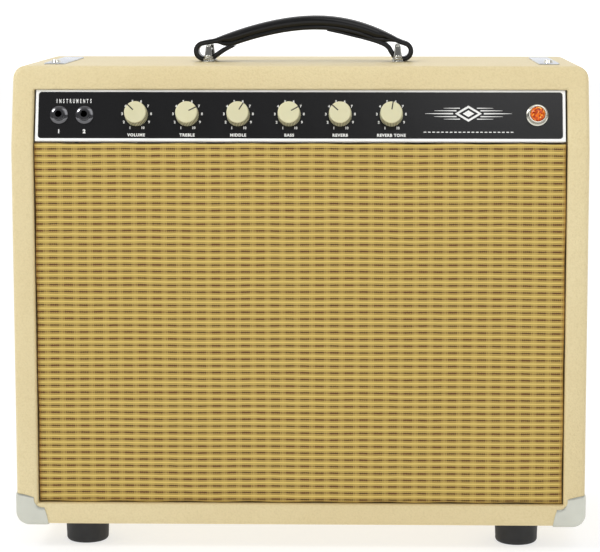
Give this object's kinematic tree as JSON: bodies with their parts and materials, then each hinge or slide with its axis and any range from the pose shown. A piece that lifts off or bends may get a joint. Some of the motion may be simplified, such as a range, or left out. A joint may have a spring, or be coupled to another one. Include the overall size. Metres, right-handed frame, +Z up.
{
  "type": "guitar amplifier",
  "caption": "Open-backed valve guitar combo amplifier: cream covered cabinet, woven grille, tilted black control panel with cream knobs, carrying strap, speaker and reverb tank.",
  "frame": {"origin": "on the floor under the middle of the object's bounding box", "axes": "+Z up, +X to the right as seen from the front, the front with the grille and controls faces -Y"},
  "size_m": [0.564, 0.2662, 0.5221],
  "materials": {
    "covered_wood": "cream textured vinyl glued over softwood boards",
    "raw_wood": "bare plywood",
    "cloth": "woven, dashed brown on gold",
    "nickel": "polished nickel plate",
    "zinc": "zinc-plated screws",
    "rubber": "matt moulded rubber",
    "leather": "black, stitched",
    "chassis_metal": "folded sheet",
    "white_plastic": "satin white",
    "black_plate": "gloss black with white print",
    "knob_plastic": "cream, fluted",
    "steel": "bright steel",
    "pot_steel": "plated steel cans",
    "jewel": "faceted clear orange acrylic",
    "lamp": "small lamp in a metal holder",
    "black_plastic": "moulded",
    "socket": "phenolic",
    "valve_glass": "clear",
    "transformer": "black enamel",
    "board": "fibre board with components",
    "basket": "black",
    "magnet": "ferrite between plated steel plates",
    "paper": "doped paper",
    "surround": "doped corrugated cloth",
    "pan": "plated steel",
    "cable": "insulated cable"
  },
  "bodies": {
    "cabinet": {"side_board_left": "covered_wood", "side_board_right": "covered_wood", "top_board": "covered_wood", "bottom_board": "covered_wood", "baffle_board": "raw_wood", "panel_cleats": "raw_wood", "grille_cloth": "cloth", "rear_panel_upper": "covered_wood", "rear_panel_lower": "covered_wood", "corner_caps": "nickel", "cabinet_screws": "zinc", "feet": "rubber", "foot_screws": "zinc", "handle_brackets": "nickel", "chassis_straps": "nickel", "chassis_bolts": "zinc", "chassis": "chassis_metal", "panel_surround": "white_plastic", "control_plate": "black_plate", "rear_plate": "black_plate", "pot_bodies": "pot_steel", "panel_nuts": "nickel", "input_jacks": "nickel", "output_jacks": "nickel", "pilot_bezel": "nickel", "pilot_jewel": "jewel", "pilot_lamp": "lamp", "switch_bodies": "pot_steel", "fuse_holder": "black_plastic", "mains_inlet": "black_plastic", "tube_sockets": "socket", "power_tubes": "valve_glass", "preamp_tubes": "valve_glass", "tube_shields": "chassis_metal", "transformers": "transformer", "circuit_board": "board", "speaker_basket": "basket", "speaker_magnet": "magnet", "speaker_suspension": "surround", "speaker_bolts": "zinc", "reverb_tank": "pan", "internal_cables": "cable"},
    "handle": {"handle_strap": "leather", "handle_rivets": "nickel"},
    "volume_control": {"knob_volume": "knob_plastic", "shaft_volume": "steel"},
    "treble_control": {"knob_treble": "knob_plastic", "shaft_treble": "steel"},
    "middle_control": {"knob_middle": "knob_plastic", "shaft_middle": "steel"},
    "bass_control": {"knob_bass": "knob_plastic", "shaft_bass": "steel"},
    "reverb_control": {"knob_reverb": "knob_plastic", "shaft_reverb": "steel"},
    "tone_control": {"knob_tone": "knob_plastic", "shaft_tone": "steel"},
    "power_switch": {"power_switch_lever": "nickel"},
    "standby_switch": {"standby_switch_lever": "nickel"},
    "fuse": {"fuse_cap": "black_plastic"},
    "cone": {"speaker_cone": "paper"}
  },
  "joints": [
    {"name": "handle_lift", "type": "slide", "parent": "cabinet", "child": "handle", "axis": [0, 0, 1], "range_m": [0, 0.003]},
    {"name": "volume_turn", "type": "hinge", "parent": "cabinet", "child": "volume_control", "pos_m": [-0.1585, -0.11504, 0.42829], "axis": [0, 0.9613, -0.2756], "range_deg": [-104.5, 195.5]},
    {"name": "treble_turn", "type": "hinge", "parent": "cabinet", "child": "treble_control", "pos_m": [-0.1091, -0.11504, 0.42829], "axis": [0, 0.9613, -0.2756], "range_deg": [-213, 87]},
    {"name": "middle_turn", "type": "hinge", "parent": "cabinet", "child": "middle_control", "pos_m": [-0.0597, -0.11504, 0.42829], "axis": [0, 0.9613, -0.2756], "range_deg": [-182, 118]},
    {"name": "bass_turn", "type": "hinge", "parent": "cabinet", "child": "bass_control", "pos_m": [-0.0103, -0.11504, 0.42829], "axis": [0, 0.9613, -0.2756], "range_deg": [-210.5, 89.5]},
    {"name": "reverb_turn", "type": "hinge", "parent": "cabinet", "child": "reverb_control", "pos_m": [0.0391, -0.11504, 0.42829], "axis": [0, 0.9613, -0.2756], "range_deg": [-102.2, 197.8]},
    {"name": "tone_turn", "type": "hinge", "parent": "cabinet", "child": "tone_control", "pos_m": [0.0885, -0.11504, 0.42829], "axis": [0, 0.9613, -0.2756], "range_deg": [-159, 141]},
    {"name": "power_flip", "type": "hinge", "parent": "cabinet", "child": "power_switch", "pos_m": [0.112, 0.11182, 0.428], "axis": [1, 0, 0], "range_deg": [0, 26]},
    {"name": "standby_flip", "type": "hinge", "parent": "cabinet", "child": "standby_switch", "pos_m": [0.076, 0.11182, 0.428], "axis": [1, 0, 0], "range_deg": [0, 26]},
    {"name": "fuse_cap_turn", "type": "hinge", "parent": "cabinet", "child": "fuse", "pos_m": [0.15, 0.10982, 0.428], "axis": [0, 1, 0], "range_deg": [-90, 0]},
    {"name": "cone_move", "type": "slide", "parent": "cabinet", "child": "cone", "axis": [0, 1, 0], "range_m": [-0.0025, 0.0025], "stiffness_N_per_m": 3500, "deforming": ["speaker_suspension"]}
  ]
}
